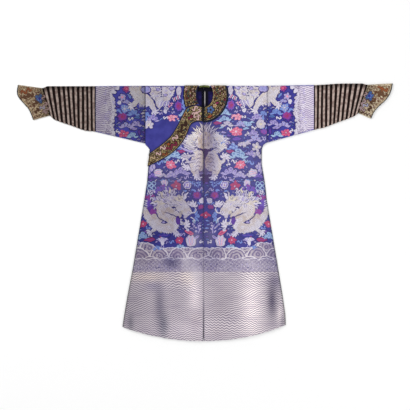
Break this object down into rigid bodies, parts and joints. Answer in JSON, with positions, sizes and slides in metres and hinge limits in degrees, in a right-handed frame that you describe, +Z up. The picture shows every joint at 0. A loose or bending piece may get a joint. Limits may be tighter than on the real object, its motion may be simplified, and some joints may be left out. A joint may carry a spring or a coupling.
{
  "type": "chinese dragon robe",
  "caption": "Full-length side-fastening robe laid flat, with flared sleeves ending in horse-hoof cuffs, a round collar and a curved overlap band.",
  "frame": {"origin": "middle of the robe's box in plan, on the surface that the robe lies on", "axes": "+X across the sleeves towards the wearer's left sleeve, +Y from the hem up to the shoulders, +Z up from the surface, out of the robe's front"},
  "size_m": [2.098, 1.4376, 0.0121],
  "materials": {
    "brocade": "silk brocade with a soft sheen",
    "striped_silk": "ribbed silk",
    "gold_brocade": "gold-thread brocade",
    "binding": "satin binding",
    "rim": "satin binding",
    "navy_lining": "smooth silk",
    "pale_tape": "woven tape"
  },
  "bodies": {
    "root": {"body_left": "brocade", "body_right": "brocade", "outer_flap": "brocade", "sleeve_left": "brocade", "sleeve_right": "brocade", "striped_sleeve_left": "striped_silk", "striped_sleeve_right": "striped_silk", "cuff_left": "gold_brocade", "cuff_right": "gold_brocade", "cuff_binding_left": "binding", "cuff_binding_right": "binding", "collar_left": "gold_brocade", "collar_right": "gold_brocade", "collar_binding_left": "binding", "collar_binding_right": "binding", "front_band": "gold_brocade", "band_binding_upper": "binding", "band_binding_lower": "binding", "neck_rim": "rim", "lining_left": "navy_lining", "lining_right": "navy_lining", "lining_tape": "pale_tape"}
  },
  "joints": []
}
